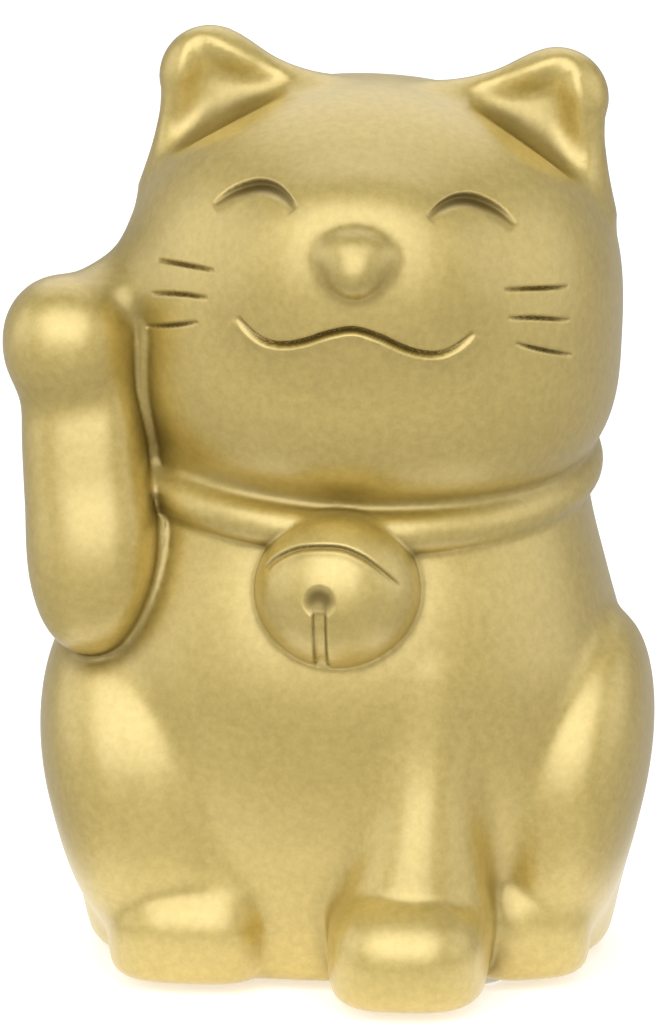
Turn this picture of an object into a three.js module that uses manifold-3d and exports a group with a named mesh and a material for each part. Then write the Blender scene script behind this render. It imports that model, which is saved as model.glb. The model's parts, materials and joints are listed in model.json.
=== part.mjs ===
// A seated beckoning cat, 130 mm tall: a hollow ceramic body with a raised arm, a collar, a bell, a nose and a tail
// luted on to it, a rubber stopper in its drain hole and four rubber feet.
// Millimetres, +Z up. The cat faces -Y, and its raised arm is on the -X side.
import * as THREE from "three";
import { mergeVertices } from "three/addons/utils/BufferGeometryUtils.js";
import Module from "manifold-3d";

const wasm = await Module();
wasm.setup();

// Driving dimensions.
const GAP = 0.3; // clearance between pieces that are luted or pushed together
const WALL = 4; // thickness of the cast wall
const SEAT_DEPTH = 1.8; // how far a luted piece is let into the wall
const PAD_HEIGHT = 1.2;
const PAD_RADIUS = 4.5;
const PAD_X = 18;
const PAD_Y = 13.5;
const BASE_THICKNESS = 7;
const HOLE_RADIUS = 7.6; // drain hole
const RECESS_RADIUS = 10.4; // counterbore that the stopper's flange sits up in
const RECESS_DEPTH = 2.8;
const STOPPER_LENGTH = 9;
const FLANGE_THICKNESS = 1.6;
const FLANGE_DISH = 0.6;

const TORSO_DEPTH_RATIO = 0.86;
const TORSO_SET_BACK = 2;
const NECK_TOP = 76;
const HEAD_BOTTOM = 63;
const HEAD_TOP = 122.6;
const HEAD_RADIUS = 35.3;
const HEAD_DEPTH_RATIO = 0.9;
const HEAD_SHIFT = 1.8;
const HEAD_LEAN = THREE.MathUtils.degToRad(2.8);
const HEAD_PIVOT = 70;
const EAR_SPREAD = 24.3; // from the head's own centre line to an ear's tip
const EAR_TIP = 130.2;
const EAR_FRONT = -8;
const EAR_THICKNESS = 17;
const EAR_ROUNDING = 1.6;
const EAR_RIM = 2.6; // width of the rim round an ear's hollow
const EAR_HOLLOW = 2;

const ARM_RADIUS = 8.6;
const ELBOW = new THREE.Vector3(-33, -17, 54);
const WRIST = new THREE.Vector3(-36, -16, 78);
const PAW = new THREE.Vector3(-37.7, -15, 90);
const PAW_RADIUS = 8.9;
const ARM_SEAT_SWELL = 1.012; // the flank is scaled up by this before it cuts the arm, which leaves the gap
const ARM_SEAT_MIDDLE = 60;

const COLLAR_TUBE = 2;
const COLLAR_HALF_WIDTH = 33.2;
const COLLAR_HALF_DEPTH = 28.4;
const COLLAR_HEIGHT = 71.4;
const COLLAR_DIP = THREE.MathUtils.degToRad(10);

const BELL_RADIUS = 11.2;
const BELL_DEPTH = 9.4;
const BELL = new THREE.Vector3(0.5, -26.5, 57.8);
const BELL_HOLE_RADIUS = 1.9;
const BELL_SLOT_WIDTH = 1.4;

const NOSE = new THREE.Vector3(3.4, -30.2, 105);
const NOSE_RADII = [5.6, 4.9, 4.9];
const TAIL = new THREE.Vector3(-4, 34.6, 11);
const TAIL_RADII = [9, 6.4, 8.4];

const ROUND_STEPS = 36; // sides of the large turned forms
const AMPLE = 200; // wider than the cat

const GOLD = { color: 0xb79f5f, roughness: 0.45, metalness: 0.7 };
const RUBBER = { color: 0x2b2a28, roughness: 0.8, metalness: 0 };

// Geometry to manifold solid and back.

function solid(geometry) {
  const bare = geometry.clone();
  bare.deleteAttribute("normal");
  bare.deleteAttribute("uv");
  const merged = mergeVertices(bare, 1e-4);
  return new wasm.Manifold(
    new wasm.Mesh({
      numProp: 3,
      vertProperties: new Float32Array(merged.attributes.position.array),
      triVerts: new Uint32Array(merged.index.array),
    }),
  );
}

function union(solids) {
  return solids.reduce((whole, next) => whole.add(next));
}

function named(name, shape, look) {
  const { vertProperties, triVerts } = shape.getMesh();
  const geometry = new THREE.BufferGeometry();
  geometry.setAttribute("position", new THREE.BufferAttribute(vertProperties, 3));
  geometry.setIndex(new THREE.BufferAttribute(triVerts, 1));
  geometry.computeVertexNormals();
  const mesh = new THREE.Mesh(geometry, new THREE.MeshStandardMaterial(look));
  mesh.name = name;
  return mesh;
}

// Basic forms. Those that leave a seat or a cavity take the amount that they are grown by.

function turned(profile, segments) {
  const points = profile.map(([radius, height]) => new THREE.Vector2(radius, height));
  return new THREE.LatheGeometry(points, segments).rotateX(Math.PI / 2);
}

function ellipsoid([x, y, z], [a, b, c], grow = 0, segments = 24) {
  return new THREE.SphereGeometry(1, segments, segments / 2)
    .rotateX(Math.PI / 2)
    .scale(a + grow, b + grow, c + grow)
    .translate(x, y, z);
}

function limb(from, to, radius) {
  const along = new THREE.Vector3().subVectors(to, from);
  const turn = new THREE.Quaternion().setFromUnitVectors(
    new THREE.Vector3(0, 1, 0),
    along.clone().normalize(),
  );
  const middle = new THREE.Vector3().addVectors(from, to).multiplyScalar(0.5);
  return new THREE.CapsuleGeometry(radius, along.length(), 6, 22)
    .applyQuaternion(turn)
    .translate(middle.x, middle.y, middle.z);
}

function allAbove(height) {
  return new THREE.BoxGeometry(AMPLE, AMPLE, AMPLE).translate(0, 0, height + AMPLE / 2);
}

// Everything on the head is shaped upright about x = 0, then leaned and shifted with it.
function onHead(geometry) {
  return geometry
    .translate(0, 0, -HEAD_PIVOT)
    .rotateY(HEAD_LEAN)
    .translate(HEAD_SHIFT, 0, HEAD_PIVOT);
}

// The outer forms of the body.

function torso(grow = 0) {
  const profile = [
    [0, PAD_HEIGHT - grow],
    [31 + grow, PAD_HEIGHT - grow],
    [34.2 + grow, 4],
    [37.6 + grow, 13],
    [40.2 + grow, 27],
    [39.6 + grow, 38],
    [36.6 + grow, 50],
    [33.8 + grow, 61],
    [31.4 + grow, 70],
    [22 + grow, NECK_TOP + grow],
    [0, NECK_TOP + grow],
  ];
  return turned(profile, ROUND_STEPS).scale(1, TORSO_DEPTH_RATIO, 1).translate(0, TORSO_SET_BACK, 0);
}

function skull(grow = 0) {
  const outline = new THREE.SplineCurve(
    [
      [0, HEAD_BOTTOM - grow],
      [22 + grow, HEAD_BOTTOM + 1.4],
      [31.6 + grow, 71.5],
      [HEAD_RADIUS + grow, 87],
      [34.2 + grow, 101],
      [31.6 + grow, 111],
      [24 + grow, 118.8],
      [12, HEAD_TOP - 0.8 + grow],
      [0, HEAD_TOP + grow],
    ].map(([radius, height]) => new THREE.Vector2(radius, height)),
  );
  const profile = outline.getPoints(14).map((point) => [Math.max(point.x, 0), point.y]);
  profile[0][0] = 0;
  profile[profile.length - 1][0] = 0;
  return onHead(turned(profile, ROUND_STEPS).scale(1, HEAD_DEPTH_RATIO, 1));
}

// A triangle with a rounded tip, drawn in the plane of the face: from the skull's side over the tip to the crown.
function earOutline(side, inset) {
  const outer = new THREE.Vector2(side * (32.6 - inset), 100 + inset * 5.4);
  const tip = new THREE.Vector2(side * (EAR_SPREAD - inset * 0.2), EAR_TIP - inset * 0.9);
  const inner = new THREE.Vector2(side * (1 + inset * 4.4), 117 + inset * 1.6);
  const beforeTip = tip.clone().lerp(outer, 0.34);
  const afterTip = tip.clone().lerp(inner, 0.34);
  const peak = tip.clone().add(new THREE.Vector2(side * 1.2, 3.5));
  const outline = new THREE.Shape();
  outline.moveTo(outer.x, outer.y);
  outline.lineTo(beforeTip.x, beforeTip.y);
  outline.quadraticCurveTo(peak.x, peak.y, afterTip.x, afterTip.y);
  outline.lineTo(inner.x, inner.y);
  return outline;
}

function earPlate(side, inset, front, thickness, bevel) {
  const plate = new THREE.ExtrudeGeometry(earOutline(side, inset), {
    depth: thickness - 2 * bevel,
    bevelEnabled: bevel > 0,
    bevelThickness: bevel,
    bevelSize: bevel,
    bevelOffset: -bevel,
    bevelSegments: 2,
    curveSegments: 5,
  });
  return onHead(plate.rotateX(Math.PI / 2).translate(0, front + thickness - bevel, 0));
}

function ear(side) {
  const whole = solid(earPlate(side, 0, EAR_FRONT, EAR_THICKNESS, EAR_ROUNDING));
  const hollow = earPlate(side, EAR_RIM, EAR_FRONT - EAR_HOLLOW, 2 * EAR_HOLLOW, 0);
  return whole.subtract(solid(hollow));
}

function legs() {
  const leftThigh = ellipsoid([-25, -5, 27], [17.2, 22, 21]);
  const rightThigh = ellipsoid([25.5, -3, 29], [17, 21, 24]);
  const leftHindFoot = ellipsoid([-19.5, -13, 7.6], [12, 14.5, 10]);
  const rightHindFoot = ellipsoid([27, -9, 7.6], [10.5, 12.5, 10]);
  const foreleg = limb(new THREE.Vector3(13, -22, 42), new THREE.Vector3(10.5, -25, 12), 8.5);
  const foreFoot = ellipsoid([10.4, -24.5, 7.4], [11.8, 13.5, 9.4]);
  return [leftThigh, rightThigh, leftHindFoot, rightHindFoot, foreleg, foreFoot].map(solid);
}

// The pieces that are luted on.

function armForm() {
  const forearm = solid(limb(ELBOW, WRIST, ARM_RADIUS));
  const paw = solid(ellipsoid(PAW.toArray(), [PAW_RADIUS, PAW_RADIUS, PAW_RADIUS]));
  return forearm.add(paw);
}

function collarForm(grow = 0) {
  const ring = new THREE.TorusGeometry(1, (COLLAR_TUBE + grow) / COLLAR_HALF_WIDTH, 10, 48)
    .scale(COLLAR_HALF_WIDTH, COLLAR_HALF_DEPTH, COLLAR_HALF_WIDTH)
    .rotateX(COLLAR_DIP)
    .rotateY(HEAD_LEAN)
    .translate(0.8, 1.2, COLLAR_HEIGHT);
  return solid(ring);
}

// The bell, the nose and the tail are let into the wall, each down to the form beneath it sunk by SEAT_DEPTH.

function bellForm(grow = 0) {
  const round = ellipsoid(BELL.toArray(), [BELL_RADIUS, BELL_DEPTH, BELL_RADIUS], grow);
  return solid(round).subtract(solid(torso(-SEAT_DEPTH - grow)));
}

// A round hole a little below the bell's middle, with a slot from it down over the bell's edge.
function bellOpening() {
  const depth = 3;
  const front = BELL.y - BELL_DEPTH;
  const hole = new THREE.CylinderGeometry(BELL_HOLE_RADIUS, BELL_HOLE_RADIUS, 2 * depth, 24)
    .translate(BELL.x, front, BELL.z - 2);
  const slot = new THREE.BoxGeometry(BELL_SLOT_WIDTH, 4 * depth, BELL_RADIUS)
    .translate(BELL.x, front + depth, BELL.z - 2 - BELL_RADIUS / 2);
  return solid(hole).add(solid(slot));
}

function noseForm(grow = 0) {
  const button = ellipsoid(NOSE.toArray(), NOSE_RADII, grow);
  return solid(button).subtract(solid(skull(-SEAT_DEPTH - grow)));
}

function tailForm(grow = 0) {
  const stub = ellipsoid(TAIL.toArray(), TAIL_RADII, grow);
  return solid(stub).subtract(solid(torso(-SEAT_DEPTH - grow)));
}

// The body casting: outer forms less the cavity, the drain hole and the seats of the luted pieces.

function outerBody() {
  const forms = [solid(torso()), solid(skull()), ear(-1), ear(1), ...legs()];
  return union(forms).intersect(solid(allAbove(PAD_HEIGHT)));
}

function cavity() {
  const room = solid(torso(-WALL)).add(solid(skull(-WALL)));
  return room.intersect(solid(allAbove(PAD_HEIGHT + BASE_THICKNESS)));
}

function drainHole() {
  const recessTop = PAD_HEIGHT + RECESS_DEPTH;
  const holeTop = PAD_HEIGHT + BASE_THICKNESS + WALL;
  const profile = [
    [0, 0],
    [RECESS_RADIUS, 0],
    [RECESS_RADIUS, recessTop],
    [HOLE_RADIUS, recessTop],
    [HOLE_RADIUS, holeTop],
    [0, holeTop],
  ];
  return solid(turned(profile, 36));
}

function body(shell) {
  const hollow = shell.subtract(cavity()).subtract(drainHole());
  const seats = [collarForm(GAP), bellForm(GAP), noseForm(GAP), tailForm(GAP)];
  return seats.reduce((left, seat) => left.subtract(seat), hollow);
}

// The arm's inner side is cut to the flank and cheek that it is stuck to, and passes the collar.
function raisedArm(shell) {
  const flank = shell
    .translate([0, 0, -ARM_SEAT_MIDDLE])
    .scale([ARM_SEAT_SWELL, ARM_SEAT_SWELL, ARM_SEAT_SWELL])
    .translate([0, 0, ARM_SEAT_MIDDLE]);
  return armForm().subtract(flank).subtract(collarForm(GAP));
}

function stopper() {
  const flangeTop = PAD_HEIGHT + RECESS_DEPTH - GAP;
  const flangeBottom = flangeTop - FLANGE_THICKNESS;
  const top = flangeTop + STOPPER_LENGTH;
  const shank = HOLE_RADIUS - GAP;
  const profile = [
    [0, flangeBottom + FLANGE_DISH],
    [4.2, flangeBottom + FLANGE_DISH],
    [5, flangeBottom],
    [RECESS_RADIUS - 2 * GAP, flangeBottom],
    [RECESS_RADIUS - 2 * GAP, flangeTop],
    [shank, flangeTop],
    [shank - 0.2, top - 1.2],
    [shank - 1.4, top],
    [0, top],
  ];
  return solid(turned(profile, 32));
}

function footPad(x, y) {
  const profile = [
    [0, 0],
    [PAD_RADIUS - 0.3, 0],
    [PAD_RADIUS, 0.3],
    [PAD_RADIUS, PAD_HEIGHT],
    [0, PAD_HEIGHT],
  ];
  return solid(turned(profile, 24).translate(x, y, 0));
}

const shell = outerBody();
const cat = new THREE.Group();
cat.add(named("body", body(shell), GOLD));
cat.add(named("raised_arm", raisedArm(shell), GOLD));
cat.add(named("collar", collarForm().subtract(bellForm(GAP)), GOLD));
cat.add(named("bell", bellForm().subtract(bellOpening()), GOLD));
cat.add(named("nose", noseForm(), GOLD));
cat.add(named("tail", tailForm(), GOLD));
cat.add(named("stopper", stopper(), RUBBER));
[
  [-PAD_X, -PAD_Y],
  [PAD_X, -PAD_Y],
  [-PAD_X, PAD_Y],
  [PAD_X, PAD_Y],
].forEach(([x, y], index) => cat.add(named(`foot_pad_${index + 1}`, footPad(x, y), RUBBER)));

// The origin is the middle of the footprint box, on the surface that the cat stands on.
const extent = new THREE.Box3().setFromObject(cat);
const centre = extent.getCenter(new THREE.Vector3());
cat.position.set(-centre.x, -centre.y, 0);

const group = new THREE.Group();
group.add(cat);

export default group;
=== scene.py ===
"""A seated beckoning cat in matte gold lacquer: its visible pieces, finishes, studio and camera.

The cat is modelled the way a sculptor works it up. Balls and rods of clay are set in place and joined,
the whole is pressed to one smooth form, the fine features are scored into it, and the luted pieces are
then cut free of it.
Sizes are in millimetres in the cat's own frame, whose origin is the middle of the drain hole, on the table.
"""

import json
import logging
import math
from dataclasses import dataclass, field
from enum import Enum
from typing import Any, Callable, Iterable, Optional, Sequence, Union

import bpy
import numpy as np
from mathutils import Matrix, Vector

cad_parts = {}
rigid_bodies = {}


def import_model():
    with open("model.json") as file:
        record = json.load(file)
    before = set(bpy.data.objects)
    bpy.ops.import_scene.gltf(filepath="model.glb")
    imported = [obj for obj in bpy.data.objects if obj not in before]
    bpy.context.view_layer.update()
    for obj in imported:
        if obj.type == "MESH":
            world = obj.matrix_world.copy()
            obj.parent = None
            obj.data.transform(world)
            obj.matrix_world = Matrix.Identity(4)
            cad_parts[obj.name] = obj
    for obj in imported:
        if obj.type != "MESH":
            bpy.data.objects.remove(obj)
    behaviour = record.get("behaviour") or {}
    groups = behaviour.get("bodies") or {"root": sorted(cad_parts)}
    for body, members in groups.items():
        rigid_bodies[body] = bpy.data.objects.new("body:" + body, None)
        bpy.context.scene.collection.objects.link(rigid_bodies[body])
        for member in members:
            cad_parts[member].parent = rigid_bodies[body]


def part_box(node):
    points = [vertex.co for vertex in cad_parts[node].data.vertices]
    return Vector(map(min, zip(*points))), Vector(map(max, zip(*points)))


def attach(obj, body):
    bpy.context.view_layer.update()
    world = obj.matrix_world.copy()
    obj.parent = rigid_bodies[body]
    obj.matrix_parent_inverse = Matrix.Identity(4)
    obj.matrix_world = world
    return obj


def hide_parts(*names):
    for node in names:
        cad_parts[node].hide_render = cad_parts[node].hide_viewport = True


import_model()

LOG = logging.getLogger("cat")
MM = 0.001
BODY = "cat"
BASE_HEIGHT = 1.2
HEAD_PIVOT = 70.0
HEAD_SHIFT = 1.8
HEAD_LEAN = math.radians(2.8)
PIECE_SMOOTHING = math.radians(50)
CLAY_SMOOTHING = math.radians(60)
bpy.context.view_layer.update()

Point = tuple[float, float, float]
Array = np.ndarray
Field = Callable[[Array], Array]


class Side(Enum):
    """The cat's two sides, as seen from in front of it."""

    LEFT = -1
    RIGHT = 1


class Luted(Enum):
    """The pieces that are luted on to the cat's body, by the names of their CAD nodes."""

    BELL = "bell"
    NOSE = "nose"
    COLLAR = "collar"
    RAISED_ARM = "raised_arm"
    TAIL = "tail"


class Cut(Enum):
    """What a cutter does to a piece."""

    KEEP_INSIDE = "INTERSECT"
    TAKE_AWAY = "DIFFERENCE"


# ----------------------------------------------------------------------------------------
# Frame


def frame_offset() -> Vector:
    """Where the cat's own origin lies in the frame, in metres: the middle of the stopper, on the table."""
    low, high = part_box("stopper")
    return Vector(((low[0] + high[0]) / 2, (low[1] + high[1]) / 2, 0.0))


OFFSET = np.array(frame_offset())


def to_head(points: Array) -> Array:
    """Turns points of the cat's frame into the head's own upright frame.

    Args:
        points: places in millimetres, one a row.

    Returns:
        The same places as seen from the head, whose middle plane is x = 0.
    """
    x = points[:, 0] - HEAD_SHIFT
    z = points[:, 2] - HEAD_PIVOT
    cosine, sine = math.cos(HEAD_LEAN), math.sin(HEAD_LEAN)
    return np.stack([x * cosine - z * sine, points[:, 1], x * sine + z * cosine + HEAD_PIVOT], axis=1)


def from_head(point: Point) -> Point:
    """Turns one place on the upright head into the cat's frame.

    Args:
        point: a place in millimetres in the head's own frame.

    Returns:
        The same place in the cat's frame.
    """
    x, y, z = point[0], point[1], point[2] - HEAD_PIVOT
    cosine, sine = math.cos(HEAD_LEAN), math.sin(HEAD_LEAN)
    return (x * cosine + z * sine + HEAD_SHIFT, y, -x * sine + z * cosine + HEAD_PIVOT)


# ----------------------------------------------------------------------------------------
# Forms: the balls, rods and rings of clay, each with its distance from any place


def turning(degrees: Point) -> Array:
    """The matrix that turns by three angles about x, then y, then z.

    Args:
        degrees: the angle about each axis.

    Returns:
        The matrix, 3 by 3.
    """
    a, b, c = (math.radians(v) for v in degrees)
    about_x = np.array([[1, 0, 0], [0, math.cos(a), -math.sin(a)], [0, math.sin(a), math.cos(a)]])
    about_y = np.array([[math.cos(b), 0, math.sin(b)], [0, 1, 0], [-math.sin(b), 0, math.cos(b)]])
    about_z = np.array([[math.cos(c), -math.sin(c), 0], [math.sin(c), math.cos(c), 0], [0, 0, 1]])
    return about_z @ about_y @ about_x


@dataclass(frozen=True)
class Egg:
    """A ball pressed to three radii, squarer where its powers are above 2.

    Attributes:
        drop: its radius downwards, where that differs from the one upwards.
        round: the power of its plan.
        tall: the power of its upright section above the middle.
        low: that power below the middle.
    """

    centre: Point
    radii: Point
    drop: Optional[float] = None
    round: float = 2.0
    tall: float = 2.0
    low: float = 2.0
    turn: Point = (0.0, 0.0, 0.0)
    on_head: bool = False

    def distance(self, points: Array) -> Array:
        """How far each place is outside the form, negative inside.

        Args:
            points: places in millimetres in the cat's frame, one a row.

        Returns:
            One distance for each place, in millimetres.
        """
        places = to_head(points) if self.on_head else points
        local = (places - np.array(self.centre)) @ turning(self.turn)
        a, b, c = self.radii
        height = np.where(local[:, 2] < 0, self.drop or c, c)
        x, y = np.abs(local[:, 0]) / a + 1e-6, np.abs(local[:, 1]) / b + 1e-6
        z = np.abs(local[:, 2]) / height + 1e-6
        p, n = self.round, np.where(local[:, 2] < 0, self.low, self.tall)
        q = (x**p + y**p) ** (1 / p)
        value = q**2 + z**n - 1
        along_x = 2 * q ** (2 - p) * x ** (p - 1) / a
        along_y = 2 * q ** (2 - p) * y ** (p - 1) / b
        along_z = n * z ** (n - 1) / height
        slope = np.sqrt(along_x**2 + along_y**2 + along_z**2)
        return value / np.maximum(slope, 1.0 / max(self.radii))

    def block(self) -> None:
        """Adds the ball that the sculptor starts this form from."""
        centre = from_head(self.centre) if self.on_head else self.centre
        bpy.ops.mesh.primitive_uv_sphere_add(segments=32, ring_count=20, radius=1, location=to_world(centre))
        ball = bpy.context.object
        ball.scale = [r * MM * 0.97 for r in self.radii]
        ball.rotation_euler = [math.radians(v) for v in self.turn]
        place_in_mesh(ball)


@dataclass(frozen=True)
class Rod:
    """A rounded rod that tapers, and may be flattened from front to back."""

    start: Point
    end: Point
    start_radius: float
    end_radius: float
    depth: float = 1.0
    on_head: bool = False

    def distance(self, points: Array) -> Array:
        """How far each place is outside the form, negative inside.

        Args:
            points: places in millimetres in the cat's frame, one a row.

        Returns:
            One distance for each place, in millimetres.
        """
        places = (to_head(points) if self.on_head else points).copy()
        start, end = np.array(self.start), np.array(self.end)
        middle = (start[1] + end[1]) / 2
        places[:, 1] = middle + (places[:, 1] - middle) / self.depth
        along = end - start
        share = np.clip((places - start) @ along / (along @ along), 0, 1)
        radius = self.start_radius + (self.end_radius - self.start_radius) * share
        off = places - start - share[:, None] * along
        length = np.sqrt((off**2).sum(axis=1)) + 1e-9
        squash = np.sqrt(off[:, 0] ** 2 + off[:, 2] ** 2 + (off[:, 1] / self.depth) ** 2) / length
        return (length - radius) / squash

    def block(self) -> None:
        """Adds the row of balls that the sculptor starts this form from."""
        for share in (0.0, 0.33, 0.67, 1.0):
            spot = tuple(s + (e - s) * share for s, e in zip(self.start, self.end))
            radius = self.start_radius + (self.end_radius - self.start_radius) * share
            centre = from_head(spot) if self.on_head else spot
            middle = to_world(centre)
            bpy.ops.mesh.primitive_uv_sphere_add(segments=24, ring_count=16, radius=1, location=middle)
            ball = bpy.context.object
            ball.scale = [radius * MM * 0.97, radius * self.depth * MM * 0.97, radius * MM * 0.97]
            place_in_mesh(ball)


@dataclass(frozen=True)
class Trunk:
    """An upright trunk with its half width, front and back given at a few heights.

    Attributes:
        stations: rows of height, half width, front and back, from the bottom up.
        square: how square its plan is; 2 is an ellipse.
    """

    stations: tuple[tuple[float, float, float, float], ...]
    square: float = 2.2

    def at(self, heights: Array) -> tuple[Array, Array, Array]:
        """The half width, half depth and middle of the trunk at each height.

        Args:
            heights: heights in millimetres.

        Returns:
            The three, each with one value for each height.
        """
        rows = np.array(self.stations)
        levels = rows[:, 0]
        smooth = [smooth_through(levels, rows[:, column], heights) for column in (1, 2, 3)]
        half_width, front, back = smooth
        return half_width, (back - front) / 2, (back + front) / 2

    def distance(self, points: Array) -> Array:
        """How far each place is outside the form, negative inside.

        Args:
            points: places in millimetres in the cat's frame, one a row.

        Returns:
            One distance for each place, in millimetres.
        """
        a, b, middle = self.at(points[:, 2])
        x = np.abs(points[:, 0]) / a + 1e-6
        y = np.abs(points[:, 1] - middle) / b + 1e-6
        n = self.square
        q = (x**n + y**n) ** (1 / n)
        slope = q ** (1 - n) * np.sqrt((x ** (n - 1) / a) ** 2 + (y ** (n - 1) / b) ** 2)
        side = (q - 1) / slope
        return np.maximum(side, points[:, 2] - self.stations[-1][0])

    def block(self) -> None:
        """Adds a cylinder, cut into rings that are each drawn to the trunk's size at that height."""
        low, high = self.stations[0][0], self.stations[-1][0]
        bpy.ops.mesh.primitive_cylinder_add(
            vertices=48, radius=MM, depth=(high - low) * MM, location=to_world((0, 0, (low + high) / 2))
        )
        trunk = bpy.context.object
        place_in_mesh(trunk)
        for ring in range(1, 12):
            cut_level(trunk, low + (high - low) * ring / 12)
        points = read_points(trunk)
        a, b, middle = self.at(points[:, 2])
        points[:, 0] *= a * 0.97
        points[:, 1] = middle + points[:, 1] * b * 0.97
        write_points(trunk, points)


@dataclass(frozen=True)
class Ring:
    """A round band that lies in an oval about the neck."""

    centre: Point
    half_width: float
    half_depth: float
    thickness: float
    height: float
    turn: Point

    def local(self, points: Array) -> Array:
        """Turns places into the band's own level frame."""
        return (points - np.array(self.centre)) @ turning(self.turn)

    def distance(self, points: Array) -> Array:
        """How far each place is outside the form, negative inside.

        Args:
            points: places in millimetres in the cat's frame, one a row.

        Returns:
            One distance for each place, in millimetres.
        """
        places = self.local(points)
        x, y = places[:, 0] / self.half_width, places[:, 1] / self.half_depth
        q = np.sqrt(x**2 + y**2) + 1e-9
        slope = np.sqrt((x / self.half_width) ** 2 + (y / self.half_depth) ** 2) / q
        outwards = (q - 1) / np.maximum(slope, 1e-6) / self.thickness
        upwards = places[:, 2] / self.height
        length = np.sqrt(outwards**2 + upwards**2) + 1e-9
        slope = np.sqrt((outwards / self.thickness) ** 2 + (upwards / self.height) ** 2) / length
        return (length - 1) / slope

    def block(self) -> None:
        """Adds the ring that the sculptor starts this form from."""
        bpy.ops.mesh.primitive_torus_add(
            major_segments=96,
            minor_segments=12,
            major_radius=1.0,
            minor_radius=self.thickness / self.half_width,
            location=to_world(self.centre),
        )
        ring = bpy.context.object
        ring.scale = [self.half_width * MM, self.half_depth * MM, self.half_width * MM]
        ring.rotation_euler = [math.radians(v) for v in self.turn]
        place_in_mesh(ring)


Form = Union[Egg, Rod, Trunk, Ring]


def smooth_through(levels: Array, values: Array, heights: Array) -> Array:
    """A smooth curve through values at levels, read at each height.

    Args:
        levels: rising heights.
        values: what the curve passes through at each level.
        heights: where it is read; beyond the ends it keeps the end value.

    Returns:
        The curve's value at each height.
    """
    slopes = np.gradient(values, levels)
    inside = np.clip(heights, levels[0], levels[-1])
    index = np.clip(np.searchsorted(levels, inside) - 1, 0, len(levels) - 2)
    span = levels[index + 1] - levels[index]
    t = (inside - levels[index]) / span
    start, end = values[index], values[index + 1]
    rise, fall = slopes[index] * span, slopes[index + 1] * span
    return (
        (2 * t**3 - 3 * t**2 + 1) * start
        + (t**3 - 2 * t**2 + t) * rise
        + (3 * t**2 - 2 * t**3) * end
        + (t**3 - t**2) * fall
    )


def blended(first: Array, second: Array, reach: Union[float, Array]) -> Array:
    """The distance from two forms joined by a fillet of clay.

    Args:
        first: distances from one form.
        second: distances from the other.
        reach: how far the fillet spreads, one number or one for each place.

    Returns:
        The distance from both as one.
    """
    share = np.clip(0.5 + 0.5 * (second - first) / reach, 0, 1)
    return second + (first - second) * share - reach * share * (1 - share)


def eased(values: Array, low: float, high: float) -> Array:
    """A smooth step from 0 at low to 1 at high."""
    t = np.clip((values - low) / (high - low), 0, 1)
    return t * t * (3 - 2 * t)


# ----------------------------------------------------------------------------------------
# Mesh handling


def to_world(point: Iterable[float]) -> Vector:
    """A place in the cat's millimetres as a place in the frame's metres."""
    x, y, z = point
    return Vector((x * MM + OFFSET[0], y * MM + OFFSET[1], z * MM))


def read_points(piece: bpy.types.Object) -> Array:
    """A piece's vertices, in the cat's millimetres.

    Args:
        piece: the piece.

    Returns:
        Its vertices, one a row.
    """
    flat = np.empty(len(piece.data.vertices) * 3)
    piece.data.vertices.foreach_get("co", flat)
    return (flat.reshape(-1, 3) - OFFSET) / MM


def write_points(piece: bpy.types.Object, points: Array) -> None:
    """Puts a piece's vertices where points says, in the cat's millimetres."""
    piece.data.vertices.foreach_set("co", (points * MM + OFFSET).ravel())
    piece.data.update()


def read_edges(piece: bpy.types.Object) -> Array:
    """The two vertices of each of a piece's edges.

    Args:
        piece: the piece.

    Returns:
        The numbers of the two vertices, one edge a row.
    """
    ends = np.empty(len(piece.data.edges) * 2, dtype=np.int64)
    piece.data.edges.foreach_get("vertices", ends)
    return ends.reshape(-1, 2)


def divided(piece: bpy.types.Object, chosen: Array) -> None:
    """Divides the faces whose vertices are all chosen.

    Args:
        piece: the piece.
        chosen: for each vertex, whether it is chosen.
    """
    only(piece)
    bpy.ops.object.mode_set(mode="EDIT")
    bpy.ops.mesh.select_mode(type="VERT")
    bpy.ops.mesh.select_all(action="DESELECT")
    bpy.ops.object.mode_set(mode="OBJECT")
    piece.data.vertices.foreach_set("select", chosen)
    bpy.ops.object.mode_set(mode="EDIT")
    bpy.ops.mesh.select_mode(type="FACE")
    bpy.ops.mesh.subdivide(number_cuts=1, quadcorner="INNERVERT")
    bpy.ops.object.mode_set(mode="OBJECT")


def only(piece: bpy.types.Object) -> None:
    """Selects one piece and nothing else, and makes it the active one.

    Args:
        piece: the piece.
    """
    bpy.ops.object.select_all(action="DESELECT")
    piece.select_set(True)
    bpy.context.view_layer.objects.active = piece


def place_in_mesh(piece: bpy.types.Object) -> None:
    """Moves a piece's place, turn and size into its mesh."""
    only(piece)
    bpy.ops.object.transform_apply(location=True, rotation=True, scale=True)


def cut_level(piece: bpy.types.Object, height: float) -> None:
    """Cuts a level ring of edges round a piece, at a height in millimetres.

    Args:
        piece: the piece.
        height: where the ring lies, above the table.
    """
    only(piece)
    bpy.ops.object.mode_set(mode="EDIT")
    bpy.ops.mesh.select_all(action="SELECT")
    bpy.ops.mesh.bisect(plane_co=(0, 0, height * MM), plane_no=(0, 0, 1))
    bpy.ops.object.mode_set(mode="OBJECT")


def joined(name: str, forms: Sequence[Form]) -> bpy.types.Object:
    """Sets each form's starting block in place and joins them into one named object.

    Args:
        name: what the object is called.
        forms: the forms whose blocks it is made of.

    Returns:
        The object.
    """
    blocks = []
    for form in forms:
        before = set(bpy.data.objects)
        form.block()
        blocks += [made for made in bpy.data.objects if made not in before]
    bpy.ops.object.select_all(action="DESELECT")
    for block in blocks:
        block.select_set(True)
    bpy.context.view_layer.objects.active = blocks[0]
    if len(blocks) > 1:
        bpy.ops.object.join()
    whole = bpy.context.object
    whole.name = whole.data.name = name
    return whole


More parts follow.
